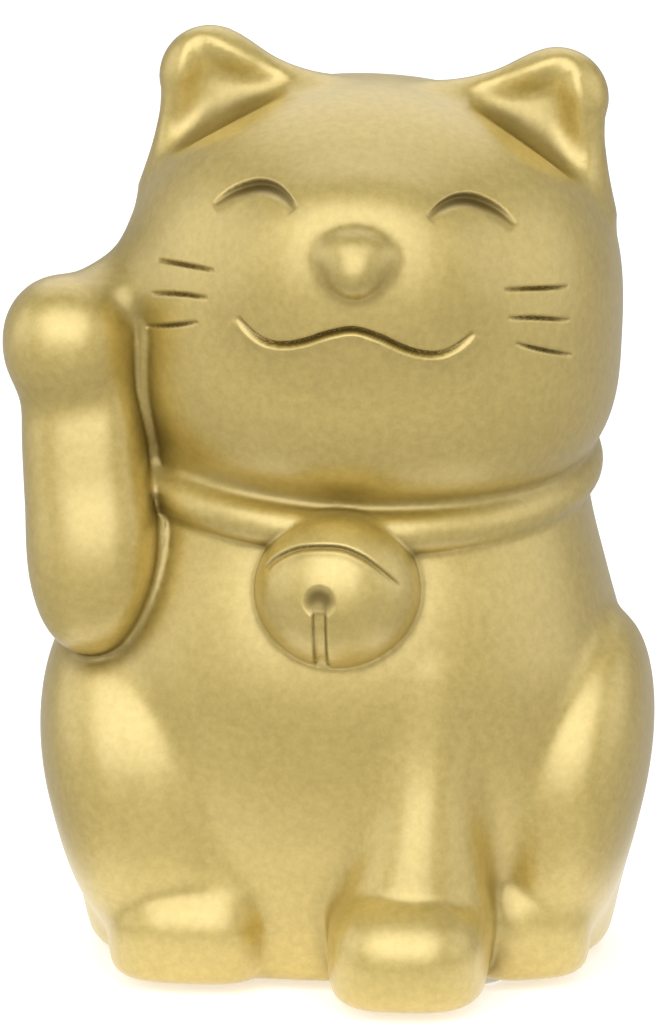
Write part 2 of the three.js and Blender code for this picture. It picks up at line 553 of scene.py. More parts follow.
def remeshed(piece: bpy.types.Object, voxel: float) -> None:
    """Covers a piece with an even skin of small faces, voxel millimetres across.

    Args:
        piece: the piece.
        voxel: how large the faces are.
    """
    only(piece)
    skin = piece.modifiers.new("skin", "REMESH")
    skin.mode = "VOXEL"
    skin.voxel_size = voxel * MM
    bpy.ops.object.modifier_apply(modifier=skin.name)


def copied(piece: bpy.types.Object, name: str) -> bpy.types.Object:
    """A copy of a piece with its own mesh and a name.

    Args:
        piece: the piece.
        name: what the copy is called.

    Returns:
        The copy.
    """
    twin = piece.copy()
    twin.data = piece.data.copy()
    twin.name = twin.data.name = name
    bpy.context.collection.objects.link(twin)
    return twin


def cut_with(piece: bpy.types.Object, cutter: bpy.types.Object, cut: Cut) -> None:
    """Cuts a piece with a closed cutter, and keeps the part that the cut names.

    Args:
        piece: the piece that is cut.
        cutter: the closed cutter.
        cut: which part is kept.
    """
    only(piece)
    knife = piece.modifiers.new("cut", "BOOLEAN")
    knife.operation = cut.value
    knife.object = cutter
    knife.solver = "MANIFOLD"
    bpy.ops.object.modifier_apply(modifier=knife.name)


def drop(*pieces: bpy.types.Object) -> None:
    """Removes pieces that only helped.

    Args:
        pieces: the pieces, which are gone afterwards.
    """
    for piece in pieces:
        mesh = piece.data
        bpy.data.objects.remove(piece)
        bpy.data.meshes.remove(mesh)


# ----------------------------------------------------------------------------------------
# The sculpture: all forms as one smooth body of clay


@dataclass(frozen=True)
class Score:
    """A tool mark scored along a line on the front of the head.

    Attributes:
        line: its points, across and up, in the head's own frame.
        depth: how deep it goes in its middle.
        above: how far its upper wall spreads.
        below: how far its lower wall spreads.
        lip: the height of the bead that the tool raises below it.
        on_head: whether the line is drawn on the head or in the cat's frame.
        shade_reach: how far below the line the painted shade in the mark reaches.
    """

    line: tuple[tuple[float, float], ...]
    depth: float
    above: float
    below: float
    lip: float = 0.0
    on_head: bool = True
    shade_reach: float = 0.5

    def curve(self) -> Array:
        """The line as a fine smooth run of points.

        Returns:
            Its points, across and up, one a row.
        """
        rows = np.array(self.line)
        steps = np.arange(len(rows), dtype=float)
        fine = np.linspace(0, len(rows) - 1, 12 * len(rows))
        return np.stack([smooth_through(steps, row, fine) for row in rows.T], axis=1)

    def measure(self, places: Array) -> tuple[Array, Array]:
        """How far each place is above the line, and how far along it, from 0 to 1.

        Args:
            places: places across and up, one a row.

        Returns:
            The two, each with one value for each place.
        """
        curve = self.curve()
        best = np.full(len(places), np.inf)
        above = np.zeros(len(places))
        along = np.zeros(len(places))
        count = len(curve) - 1
        for index in range(count):
            start, step = curve[index], curve[index + 1] - curve[index]
            off = places - start
            share = np.clip(off @ step / (step @ step), 0, 1)
            gap = off - share[:, None] * step
            length = np.sqrt((gap**2).sum(axis=1))
            nearer = length < best
            side = np.sign(step[0] * off[:, 1] - step[1] * off[:, 0]) * (1 if step[0] >= 0 else -1)
            above = np.where(nearer, side * length, above)
            along = np.where(nearer, (index + share) / count, along)
            best = np.where(nearer, length, best)
        return above, along

    def sink(self, places: Array) -> Array:
        """How deep the mark is at each place, negative on its raised bead.

        Args:
            places: places across and up, one a row.

        Returns:
            One depth in millimetres for each place.
        """
        above, along = self.measure(places)
        taper = np.sqrt(np.clip(4 * along * (1 - along), 0, 1))
        upper = 1 - eased(above, 0, self.above)
        lower = eased(above, -self.below, 0)
        groove = self.depth * taper * np.where(above > 0, upper, lower)
        bead = self.lip * taper * np.exp(-(((above + self.below * 1.25) / (self.below * 0.7)) ** 2))
        return groove - bead

    def painted_shade_at(self, points: Array) -> Array:
        """How much painted shade lies in the mark and just below it at each place of the cat, from 0 to 1.

        Args:
            points: places in millimetres in the cat's frame, one a row.

        Returns:
            One share for each place.
        """
        close = self.near(points, 5.0)
        places = to_head(points[close]) if self.on_head else points[close]
        above, along = self.measure(places[:, [0, 2]])
        taper = np.clip(4 * along * (1 - along), 0, 1)
        reach = self.shade_reach * (0.35 + 0.65 * taper)
        dark = np.zeros(len(points))
        upper, lower = 1 - eased(above, 0, self.above), 1 - eased(-above, 0.6 * reach, 1.2 * reach)
        # Painted shade in the groove and just below it.
        dark[close] = taper**0.3 * np.minimum(upper, lower)
        return dark

    def near(self, points: Array, margin: float) -> Array:
        """Which places on the cat's front lie within a margin of the line.

        Args:
            points: places in millimetres in the cat's frame, one a row.
            margin: how far off the line still counts, in millimetres.

        Returns:
            Whether each place does.
        """
        places = to_head(points) if self.on_head else points
        curve = self.curve()
        low, high = curve.min(axis=0) - margin, curve.max(axis=0) + margin
        close = (places[:, 1] < -8) & np.all((places[:, [0, 2]] > low) & (places[:, [0, 2]] < high), axis=1)
        gaps = np.sqrt(((places[close][:, None, [0, 2]] - curve[None, ::3, :]) ** 2).sum(axis=2))
        close[close] = gaps.min(axis=1) < margin
        return close

    def depth_at(self, points: Array) -> Array:
        """How deep the mark is at each place of the cat, negative on its raised bead.

        Args:
            points: places in millimetres in the cat's frame, one a row.

        Returns:
            One depth in millimetres for each place.
        """
        close = self.near(points, 5.0)
        places = to_head(points[close]) if self.on_head else points[close]
        depth = np.zeros(len(points))
        depth[close] = self.sink(places[:, [0, 2]])
        return depth


def mirrored(line: Sequence[tuple[float, float]], side: Side) -> tuple[tuple[float, float], ...]:
    """A line drawn for the right side, put on the side that is named, always running left to right.

    Args:
        line: the points of the line on the right side.
        side: the side that it is wanted on.

    Returns:
        The points of the line on that side.
    """
    if side is Side.RIGHT:
        return tuple(line)
    return tuple((-x, z) for x, z in reversed(line))


def slope(field_of: Field, points: Array) -> tuple[Array, Array]:
    """The value of a field at each place and the direction in which it grows.

    Args:
        field_of: the field.
        points: places in millimetres, one a row.

    Returns:
        The field's value at each place, and the direction in which it grows, one a row.
    """
    step = 0.02
    corners = np.array([[1, -1, -1], [-1, -1, 1], [-1, 1, -1], [1, 1, 1]], dtype=float)
    value = np.zeros(len(points))
    growth = np.zeros_like(points)
    for corner in corners:
        sample = field_of(points + step * corner)
        value += sample / 4
        growth += sample[:, None] * corner / (4 * step)
    return value, growth


def in_lots(field_of: Field, points: Array) -> tuple[Array, Array]:
    """A field's values and growth, worked out a few thousand places at a time.

    Args:
        field_of: the field.
        points: places in millimetres, one a row.

    Returns:
        The field's value at each place, and the direction in which it grows, one a row.
    """
    lots = [slope(field_of, lot) for lot in np.array_split(points, max(1, len(points) // 8000))]
    return np.concatenate([lot[0] for lot in lots]), np.concatenate([lot[1] for lot in lots])


def pressed(piece: bpy.types.Object, field_of: Field, rounds: int, relax: float) -> None:
    """Moves a piece's skin to where a field is 0.

    Args:
        piece: the piece whose vertices move.
        field_of: the field, negative inside.
        rounds: how many times they are moved.
        relax: how far each moves towards its neighbours' middle in a round, from 0 to 1.
    """
    points = read_points(piece)
    edges = read_edges(piece)
    ends = np.concatenate([edges[:, 0], edges[:, 1]])
    others = np.concatenate([edges[:, 1], edges[:, 0]])
    counts = np.bincount(ends, minlength=len(points))[:, None]
    for _ in range(rounds):
        value, growth = in_lots(field_of, points)
        steep = (growth**2).sum(axis=1)
        step = np.clip(value / np.maximum(steep, 0.2), -2, 2)
        points = points - step[:, None] * growth
        normal = growth / np.sqrt(np.maximum(steep, 1e-9))[:, None]
        middle = np.stack([np.bincount(ends, points[others, axis], len(points)) for axis in range(3)], axis=1)
        shift = middle / counts - points
        shift -= (shift * normal).sum(axis=1)[:, None] * normal
        points = points + relax * shift
    value, growth = in_lots(field_of, points)
    steep = (growth**2).sum(axis=1)
    points = points - np.clip(value / np.maximum(steep, 0.2), -0.5, 0.5)[:, None] * growth
    write_points(piece, points)


@dataclass
class Sculpture:
    """The cat's forms, and the one smooth surface that they make together."""

    trunk: Trunk = Trunk(
        stations=(
            (-2, 34.4, -22.2, 31.5),
            (6, 36.6, -24.6, 34.0),
            (14, 38.0, -26.0, 35.6),
            (24, 39.0, -28.6, 36.3),
            (34, 39.2, -30.6, 35.8),
            (44, 38.0, -31.6, 34.0),
            (54, 35.5, -30.0, 31.6),
            (62, 33.5, -27.0, 29.6),
            (70, 32.2, -25.0, 28.5),
            (78, 31.5, -24.0, 28.0),
        )
    )
    skull: Egg = Egg((0.3, 0, 88), (34.5, 31, 34.8), drop=25.5, round=2.2, tall=2.9, low=3.0, on_head=True)
    muzzle: Egg = Egg((0, -23.2, 101.0), (15.5, 8.0, 12.6), on_head=True)
    collar: Ring = Ring((0.5, 1.6, 70.6), 32.0, 28.8, 2.4, 2.8, (10, 2.8, 0))
    bell: Egg = Egg((0.5, -27.2, 57.8), (11.3, 9.6, 11.0))
    bridge: Egg = Egg((-0.3, -30.2, 105.3), (5.8, 3.8, 4.0), on_head=True)
    knob: Egg = Egg((-0.3, -32.0, 103.2), (3.4, 3.1, 3.2), on_head=True)
    tail: Egg = Egg((-4, 34.6, 11), (9, 6.4, 8.4))
    forearm: Egg = Egg((-34.6, -16.4, 71), (8.6, 8.5, 20), round=2.6, tall=3.5, low=3.5, turn=(-8.8, -3.5, 0))
    elbow: Egg = Egg((-33.3, -18.0, 60.2), (8.9, 9.2, 14.0), round=2.4, turn=(-8, 5, 0))
    paw: Egg = Egg((-37.3, -15.5, 89.4), (8.8, 9.0, 9.0), round=2.3, tall=2.2, low=2.3)
    palm: Egg = Egg((-31.0, -10.5, 90.8), (7.8, 7.5, 8.1))
    marks: list[Score] = field(default_factory=list)

    def __post_init__(self) -> None:
        """Sets out the legs, the ears and the marks on the face."""
        self.legs = [
            (Egg((-27.2, -6.0, 27), (13.4, 21.8, 25.5), round=2.7, low=2.8, turn=(0, -14, 0)), 2.0),
            (Egg((30.7, -4.0, 25.4), (10.4, 19.4, 25.0), round=2.3, low=2.8, turn=(0, 13, 0)), 2.0),
            (Rod((-25.5, -20.0, 31.0), (-16.0, -19.2, 13.0), 6.0, 7.2), 1.6),
            (Egg((-19.8, -15.3, 8.2), (11.7, 12.8, 10.2), round=3.0, tall=2.8, low=3.0,
                 turn=(12, 0, -4)), 1.6),
            (Egg((23.9, -11.0, 8.6), (9.4, 12.2, 10.6), round=2.8, tall=2.7, low=3.0, turn=(12, 0, 20)), 1.2),
            (Rod((13.6, -25.4, 45), (10.8, -25.5, 12), 3.0, 10.8), 3.5),
            (Egg((10.3, -27.4, 8.4), (11.0, 14.2, 10.0), round=2.9, tall=2.7, low=3.2, turn=(10, 0, 0)), 1.0),
        ]
        self.ears = []
        for side in Side:
            s = side.value
            inner = Rod((s * 9.5, 1.0, 116.2), (s * 23.6 + 0.5, 1.5, 121.9), 6.4, 5.7, 0.66, on_head=True)
            outer = Rod((s * 20.2 + 0.5, 1.5, 110.0), (s * 23.9 + 0.5, 1.5, 121.6), 12.6, 6.3, 0.62,
                        on_head=True)
            self.ears.append((inner, outer))
        eye = (
            (9.0, 110.9), (10.3, 112.2), (12.1, 113.0), (14.3, 113.0), (16.6, 112.2), (18.7, 110.9),
            (20.7, 109.0),
        )
        mouth = (
            (0, 95.8), (3.4, 95.0), (6.6, 93.6), (9.2, 92.8), (11.6, 92.7), (13.5, 93.4), (15, 94.5),
            (16.1, 95.6),
        )
        whiskers = (
            ((19.8, 101.0), (24.0, 100.7), (28.1, 100.2)),
            ((20.5, 97.1), (24.3, 96.7), (28.6, 95.7)),
            ((21.7, 93.5), (25.2, 92.2), (29.2, 90.7)),
        )
        for side in Side:
            self.marks.append(Score(mirrored(eye, side), 0.8, 0.45, 1.7, shade_reach=1.5))
            self.marks += [Score(mirrored(line, side), 0.5, 0.42, 0.42, shade_reach=0.4) for line in whiskers]
        whole_mouth = mirrored(mouth, Side.LEFT)[:-1] + mouth
        self.marks.append(Score(whole_mouth, 0.9, 0.45, 0.8, lip=0.34, shade_reach=0.6))
        band = ((-9.2, 61.6), (-7.4, 63.5), (-4.1, 65.2), (0.7, 65.6), (4.0, 64.6), (6.8, 62.6), (9.4, 60.0))
        self.marks.append(Score(band, 0.45, 0.4, 0.6, lip=-0.08, on_head=False, shade_reach=0.4))

    def forms(self) -> list[Form]:
        """Every form of the cat.

        Returns:
            The forms, from the trunk outwards.
        """
        legs = [form for form, _ in self.legs]
        ears = [rod for pair in self.ears for rod in pair]
        arm = [self.forearm, self.elbow, self.paw, self.palm]
        small = [self.tail, self.collar, self.bell, self.bridge, self.knob]
        return [self.trunk, self.skull, self.muzzle, *ears, *legs, *arm, *small]

    def core(self, points: Array) -> Array:
        """The distance from the head, torso and legs as one.

        Args:
            points: places in millimetres in the cat's frame, one a row.

        Returns:
            One distance for each place, in millimetres.
        """
        body = self.trunk.distance(points)
        for leg, reach in self.legs:
            body = blended(body, leg.distance(points), reach)
        head = blended(self.skull.distance(points), self.muzzle.distance(points), 7.0)
        for inner, outer in self.ears:
            ear = blended(inner.distance(points), outer.distance(points), 4.0)
            head = blended(head, ear, 3.0)
        return blended(body, head, 2.0)

    def arm(self, points: Array) -> Array:
        """The distance from the raised arm.

        Args:
            points: places in millimetres in the cat's frame, one a row.

        Returns:
            One distance for each place, in millimetres.
        """
        hand = blended(self.paw.distance(points), self.palm.distance(points), 3.0)
        lower = blended(self.forearm.distance(points), self.elbow.distance(points), 2.0)
        return blended(lower, hand, 3.2)

    def distance(self, points: Array) -> Array:
        """The distance from the whole cat as one smooth form.

        Args:
            points: places in millimetres in the cat's frame, one a row.

        Returns:
            One distance for each place, in millimetres.
        """
        core, arm = self.core(points), self.arm(points)
        height = points[:, 2]
        fillet = 1.6 + 5.8 * eased(height, 90, 98)
        whole = blended(core, arm, fillet)
        bead = 0.8 * eased(height, 54, 66) * (1 - eased(height, 92, 96)) * eased(-points[:, 1], 4, 9)
        seam = np.sqrt(core**2 + arm**2) - bead
        whole = np.where(bead > 0.01, blended(whole, seam, 0.8), whole)
        whole = blended(whole, self.tail.distance(points), 1.6)
        upper = eased(self.collar.local(points)[:, 2], 0.0, 1.5)
        whole = blended(whole, self.collar.distance(points), 0.8 + 1.2 * upper)
        whole = blended(whole, self.bell.distance(points), 0.6)
        whole = blended(whole, self.nose(points), 0.9)
        return self.flattened(whole, height)

    @staticmethod
    def flattened(whole: Array, height: Array) -> Array:
        """Cuts the form flat at its base, with a rounded edge."""
        return -blended(-whole, height - BASE_HEIGHT, 2.4)

    def nose(self, points: Array) -> Array:
        """The distance from the nose."""
        return blended(self.bridge.distance(points), self.knob.distance(points), 2.4)

    def own_clay(self, piece: Luted) -> tuple[list[Form], Field]:
        """The forms of a luted piece, and where its clay ends and its neighbours' begins.

        Args:
            piece: which of the luted pieces.

        Returns:
            Its forms, and a field that is negative in its clay and is 0 halfway down each crease round it.
        """
        collar, bell, tail = self.collar.distance, self.bell.distance, self.tail.distance
        forms, own, others = {
            Luted.BELL: ([self.bell], bell, (self.core, collar)),
            Luted.NOSE: ([self.bridge, self.knob], self.nose, (self.core,)),
            Luted.COLLAR: ([self.collar], collar, (self.core, self.arm)),
            Luted.RAISED_ARM: ([self.forearm, self.elbow, self.paw, self.palm], self.arm, (self.core,)),
            Luted.TAIL: ([self.tail], tail, (self.core,)),
        }[piece]

        def apart(points: Array) -> Array:
            """How far each place is outside the piece's share of the clay, negative inside.

            Args:
                points: places in millimetres in the cat's frame, one a row.

            Returns:
                One value for each place, 0 where the piece ends.
            """
            mine = own(points)
            rest = np.min([other(points) for other in others], axis=0)
            return -blended(rest - mine, 2.0 - mine, 0.4)

        return forms, apart

    def ear_hollow(self, places: Array) -> Array:
        """How deep the ear's dish is at each place on the upright head.

        Args:
            places: places in the head's own frame, one a row.

        Returns:
            One depth in millimetres for each place.
        """
        depth = np.zeros(len(places))
        for side in Side:
            x, z = places[:, 0] * side.value, places[:, 2]
            corners = np.array([[10.4, 122.2], [26.2, 128.9], [30.6, 109.6]])
            inside = np.full(len(places), 99.0)
            for start, end in zip(corners, np.roll(corners, -1, axis=0)):
                run = (end - start) / np.linalg.norm(end - start)
                inside = blended(inside, (x - start[0]) * run[1] - (z - start[1]) * run[0], 2.2)
            inside = np.maximum(inside, 0) ** 2 / (np.maximum(inside, 0) + 0.6)
            depth += 2.9 * (1 - (1 - np.clip(inside / 3.9, 0, 1)) ** 2)
        return depth

    def keyhole(self, points: Array) -> tuple[Array, Array]:
        """How deep the bell's keyhole is at each place of the cat, and how much painted shade lies in it.

        Args:
            points: places in millimetres in the cat's frame, one a row.

        Returns:
            The depth in millimetres and the painted shade from 0 to 1, one of each for each place.
        """
        x, height = points[:, 0] + 1.4, points[:, 2]
        away = np.sqrt(x**2 + (height - 58.4) ** 2)
        hole = np.clip(1 - (away / 2.3) ** 2, 0, 1)
        wall = eased(np.abs(x), 0.45, 1.25)
        below = (height < 58.4) * eased(height, 47.6, 49.0)
        there = (points[:, 1] < -30) * (1 - eased(self.bell.distance(points), 0.05, 0.3))
        depth = np.maximum(1.2 * hole, 0.65 * (1 - wall) * below) * there
        # Painted shade in the hole and down the slot.
        dark = np.maximum(1 - eased(away, 1.0, 2.6), 4 * wall * (1 - wall) * below) * there
        return depth, dark

    def sunk(self, points: Array, normal: Array) -> Array:
        """How far each place on the smooth form sinks under the tools, given the form's direction there.

        Args:
            points: places in millimetres in the cat's frame, one a row.
            normal: the direction in which the form faces at each place.

        Returns:
            One depth in millimetres for each place.
        """
        places = to_head(points)
        sink = sum(mark.depth_at(points) for mark in self.marks) * np.clip(-normal[:, 1] * 2.0, 0, 1)
        hollow = self.ear_hollow(places) * eased(-normal[:, 1], 0.0, 0.5)
        hollow = hollow * (places[:, 1] < 2) * (places[:, 2] > 100)
        return sink + self.keyhole(points)[0] + hollow

    def scored(self, piece: bpy.types.Object) -> None:
        """Scores the face and the bell, and hollows the ears.

        Args:
            piece: the piece.
        """
        points = read_points(piece)
        _, growth = in_lots(self.distance, points)
        normal = growth / np.linalg.norm(growth, axis=1)[:, None]
        write_points(piece, points - normal * self.sunk(points, normal)[:, None])

    def note_creases(self, piece: bpy.types.Object) -> None:
        """Notes on each vertex how much painted shade it gets, from 0 to 1, for the finish to read: the more,
        the deeper it lies in a crease, a mark or the keyhole.

        Args:
            piece: the piece.
        """
        points = read_points(piece)
        _, growth = in_lots(self.distance, points)
        normal = growth / np.linalg.norm(growth, axis=1)[:, None]
        sunk = self.sunk(points, normal)
        # Painted shade from occlusion: the sooner the clay is met outwards from a place, the darker it is
        # painted.
        hidden = np.zeros(len(points))
        for reach, weight in ((0.7, 0.35), (2.0, 0.35), (5.0, 0.3)):
            away = np.concatenate([self.distance(lot) for lot in np.array_split(points + normal * reach, 16)])
            hidden += weight * (1 - np.clip((away + 0.88 * sunk) / reach, 0, 1))
        # Painted shade in the scored marks and in the keyhole.
        groove = sum(mark.painted_shade_at(points) for mark in self.marks)
        hole = self.keyhole(points)[1] * 0.8
        values = np.clip(np.maximum(hidden, np.maximum(groove, hole)), 0, 1)
        note = piece.data.attributes.new("crease", "FLOAT", "POINT")
        note.data.foreach_set("value", values)

    def marked(self, piece: bpy.types.Object, margin: float) -> Array:
        """Which vertices lie near the marks and the keyhole.

        Args:
            piece: the piece.
            margin: how near counts, in millimetres.

        Returns:
            Whether each vertex does.
        """
        points = read_points(piece)
        low, high = np.array([-5.0, -40.0, 46.0]), np.array([2.2, -30.0, 61.8])
        close = np.all((points > low) & (points < high), axis=1)
        for mark in self.marks:
            close |= mark.near(points, margin)
        return close

    def creased(self, piece: bpy.types.Object, degrees: float) -> Array:
        """Which vertices lie where the form turns by more than some degrees from one to the next.

        Args:
            piece: the piece.
            degrees: the least turn that counts.

        Returns:
            Whether each vertex does.
        """
        points = read_points(piece)
        _, growth = in_lots(self.distance, points)
        normal = growth / np.linalg.norm(growth, axis=1)[:, None]
        edges = read_edges(piece)
        agree = (normal[edges[:, 0]] * normal[edges[:, 1]]).sum(axis=1)
        sharp = edges[agree < math.cos(math.radians(degrees))]
        close = np.zeros(len(points), dtype=bool)
        close[sharp.ravel()] = True
        close[edges[close[edges].any(axis=1)].ravel()] = True
        return close


# ----------------------------------------------------------------------------------------
# Shaders


@dataclass
class Socket:
    """One value in a shader, with arithmetic."""

    graph: "Graph"
    link: Any

    def _with(self, operation: str, first: Any, second: Any) -> "Socket":
        """A Math node on two values."""
        return self.graph.node("ShaderNodeMath", {"operation": operation}, {0: first, 1: second})

    def __add__(self, other: Any) -> "Socket":
        """The sum."""
        return self._with("ADD", self, other)

    __radd__ = __add__

    def __sub__(self, other: Any) -> "Socket":
        """The difference."""
        return self._with("SUBTRACT", self, other)

    def __rsub__(self, other: Any) -> "Socket":
        """The difference, from the other."""
        return self._with("SUBTRACT", other, self)

    def __mul__(self, other: Any) -> "Socket":
        """The product."""
        return self._with("MULTIPLY", self, other)

    __rmul__ = __mul__

    def __abs__(self) -> "Socket":
        """The value without its sign."""
        return self.graph.node("ShaderNodeMath", {"operation": "ABSOLUTE"}, {0: self})


class Graph:
    """A material's nodes, added one call at a time."""

    def __init__(self, name: str) -> None:
        """Starts a material with only its output and its main shader.

        Args:
            name: what the material is called.
        """
        self.material = bpy.data.materials.new(name)
        self.material.use_nodes = True
        self.tree = self.material.node_tree
        self.shader = next(n for n in self.tree.nodes if n.type == "BSDF_PRINCIPLED")

    def node(self, kind: str, settings: dict[str, Any], inputs: dict[Any, Any], output: Any = 0) -> Socket:
        """Adds a node.

        Args:
            kind: its type.
            settings: its own settings, set first.
            inputs: what its sockets hold or are linked to.
            output: which output is given back.

        Returns:
            The output asked for.
        """
        made = self.tree.nodes.new(kind)
        for key, value in settings.items():
            setattr(made, key, value)
        for key, value in inputs.items():
            self.feed(made.inputs[key], value)
        return Socket(self, made.outputs[output])

    def feed(self, socket: Any, value: Any) -> None:
        """Links a socket to a value, or sets it to a number or colour.

        Args:
            socket: the input.
            value: what it holds, or the output that it is linked to.
        """
        if isinstance(value, Socket):
            self.tree.links.new(value.link, socket)
        else:
            socket.default_value = value

    def places(self) -> Socket:
        """Object coordinates."""
        return self.node("ShaderNodeTexCoord", {}, {}, "Object")

    def noise(self, size: float, detail: float, rough: float = 0.5) -> Socket:
        """A noise whose features are size metres across.

        Args:
            size: how large the features are.
            detail: how many finer layers it has.
            rough: how strong each finer layer is.

        Returns:
            Its value.
        """
        return self.node(
            "ShaderNodeTexNoise",
            {},
            {"Vector": self.places(), "Scale": 1 / size, "Detail": detail, "Roughness": rough},
            0,
        )

    def ramp(self, value: Socket, low: float, high: float) -> Socket:
        """A value stretched so that low gives 0 and high gives 1.

        Args:
            value: the value.
            low: what becomes 0.
            high: what becomes 1.

        Returns:
            The stretched value.
        """
        sockets = {"Value": value, "From Min": low, "From Max": high}
        return self.node("ShaderNodeMapRange", {"clamp": True}, sockets, "Result")

    def mix(self, share: Any, first: Any, second: Any) -> Socket:
        """A colour between two."""
        return self.node("ShaderNodeMix", {"data_type": "RGBA"}, {"Factor": share, 6: first, 7: second}, 2)


@dataclass(frozen=True)
class GoldLacquer:
    """Matte gold lacquer with fine metal flake and a soft grain, with painted shade that darkens its creases,
    marks and keyhole.
    """

    name: str = "gold_lacquer"
    gold: tuple[float, float, float, float] = (0.57, 0.420, 0.075, 1)
    pale: tuple[float, float, float, float] = (0.67, 0.505, 0.120, 1)
    deep: tuple[float, float, float, float] = (0.46, 0.325, 0.040, 1)
    # Painted shade: the dark brown that creases, marks and the keyhole are darkened towards.
    painted_shade: tuple[float, float, float, float] = (0.09, 0.055, 0.008, 1)
    roughness: float = 0.46
    metallic: float = 0.65

    def material(self) -> bpy.types.Material:
        """Builds the finish.

        Returns:
            The material.
        """
        graph = Graph(self.name)
        grain = graph.noise(0.0011, 3, 0.55)
        flake = graph.noise(0.00035, 2, 0.6)
        cloud = graph.noise(0.014, 3, 0.5)
        crease = graph.node("ShaderNodeAttribute", {"attribute_name": "crease"}, {}, "Fac")
        tone = graph.ramp(grain * 0.6 + flake * 0.25 + cloud * 0.15, 0.36, 0.64)
        colour = graph.mix(tone, self.deep, self.pale)
        colour = graph.mix(0.45, colour, self.gold)
        # Painted shade: the crease attribute darkens creases, marks and the keyhole towards the dark brown,
        # and thins the coat there.
        shade_share = graph.ramp(crease, 0.12, 1.0) * 0.9
        colour = graph.mix(shade_share, colour, self.painted_shade)
        shader = graph.shader
        graph.feed(shader.inputs["Base Color"], colour)
        graph.feed(shader.inputs["Roughness"], (grain - 0.5) * 0.12 + (flake - 0.5) * 0.1 + self.roughness)
        shader.inputs["Metallic"].default_value = self.metallic
        graph.feed(shader.inputs["Coat Weight"], 1 - shade_share)
        shader.inputs["Coat IOR"].default_value = 2.0
        shader.inputs["Coat Roughness"].default_value = 0.36
        sockets = {"Strength": 0.35, "Distance": 0.00004, "Height": grain * 0.7 + flake * 0.3}
        bump = graph.node("ShaderNodeBump", {}, sockets, 0)
        graph.feed(shader.inputs["Normal"], bump)
        return graph.material


@dataclass(frozen=True)
class Rubber:
    """Pale soft rubber, dull, with a moulded grain and a little dust."""

    name: str = "rubber"
    colour: tuple[float, float, float, float] = (0.70, 0.69, 0.66, 1)
    dust: tuple[float, float, float, float] = (0.56, 0.55, 0.51, 1)

    def material(self) -> bpy.types.Material:
        """Builds the finish.

        Returns:
            The material.
        """
        graph = Graph(self.name)
        grain = graph.noise(0.0004, 3)
        cloud = graph.noise(0.004, 4)
        shader = graph.shader
        dusty = graph.mix(graph.ramp(cloud, 0.5, 0.75), self.colour, self.dust)
        graph.feed(shader.inputs["Base Color"], dusty)
        graph.feed(shader.inputs["Roughness"], grain * 0.2 + 0.6)
        bump = graph.node("ShaderNodeBump", {}, {"Strength": 0.4, "Distance": 0.00005, "Height": grain}, 0)
        graph.feed(shader.inputs["Normal"], bump)
        return graph.material


@dataclass(frozen=True)
class Paper:
    """The studio's white paper floor, painted as a pool of light: white about the cat, and painted grey as
    shade well in front of it and to its sides.

    Attributes:
        white: its colour under and behind the cat, the painted pool of light.
        grey: its painted shade, towards the studio's front and to the sides.
        front: where it starts to turn grey, and where it is grey, in metres along y.
        sides: the same to either side, in metres along x.
        slant: how far the white runs to the left as it goes back, in metres for each metre.
        glow: how strongly it glows of itself in its own colour, painted light that keeps the white paper
            white.
    """

    name: str = "paper"
    white: tuple[float, float, float, float] = (0.92, 0.92, 0.92, 1)
    grey: tuple[float, float, float, float] = (0.36, 0.355, 0.35, 1)
    front: tuple[float, float] = (-0.043, -0.075)
    sides: tuple[float, float] = (0.050, 0.068)
    slant: float = 0.07
    glow: float = 0.5

    def material(self) -> bpy.types.Material:
        """Builds the finish.

        Returns:
            The material.
        """
        graph = Graph(self.name)
        across = graph.node("ShaderNodeSeparateXYZ", {}, {"Vector": graph.places()}, "X")
        along = graph.node("ShaderNodeSeparateXYZ", {}, {"Vector": graph.places()}, "Y")
        # Painted light and shade: white near the cat, painted grey shade towards the front and the sides.
        beside = graph.ramp(abs(across + along * self.slant), *self.sides)
        inside = (1 - beside) * (1 - graph.ramp(along, *self.front))
        colour = graph.mix(inside, self.grey, self.white)
        graph.feed(graph.shader.inputs["Base Color"], colour)
        graph.shader.inputs["Roughness"].default_value = 0.9
        # Painted light: the paper glows of itself in its own colour.
        graph.feed(graph.shader.inputs["Emission Color"], colour)
        graph.shader.inputs["Emission Strength"].default_value = self.glow
        return graph.material


def dress(piece: bpy.types.Object, material: bpy.types.Material) -> None:
    """Gives a piece one finish all over."""
    piece.data.materials.clear()
    piece.data.materials.append(material)


# ----------------------------------------------------------------------------------------
# The cat


def settle(piece: bpy.types.Object, nodes: Sequence[str], body: str) -> None:
    """Smooths a finished piece's shading, and says which body carries it and what it stands for.

    Args:
        piece: the piece.
        nodes: the CAD nodes that it stands for.
        body: the body that carries it.
    """
    only(piece)
    bpy.ops.object.shade_smooth_by_angle(angle=PIECE_SMOOTHING)
    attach(piece, body)
    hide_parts(*nodes)
    LOG.info("%s: %d faces", piece.name, len(piece.data.polygons))


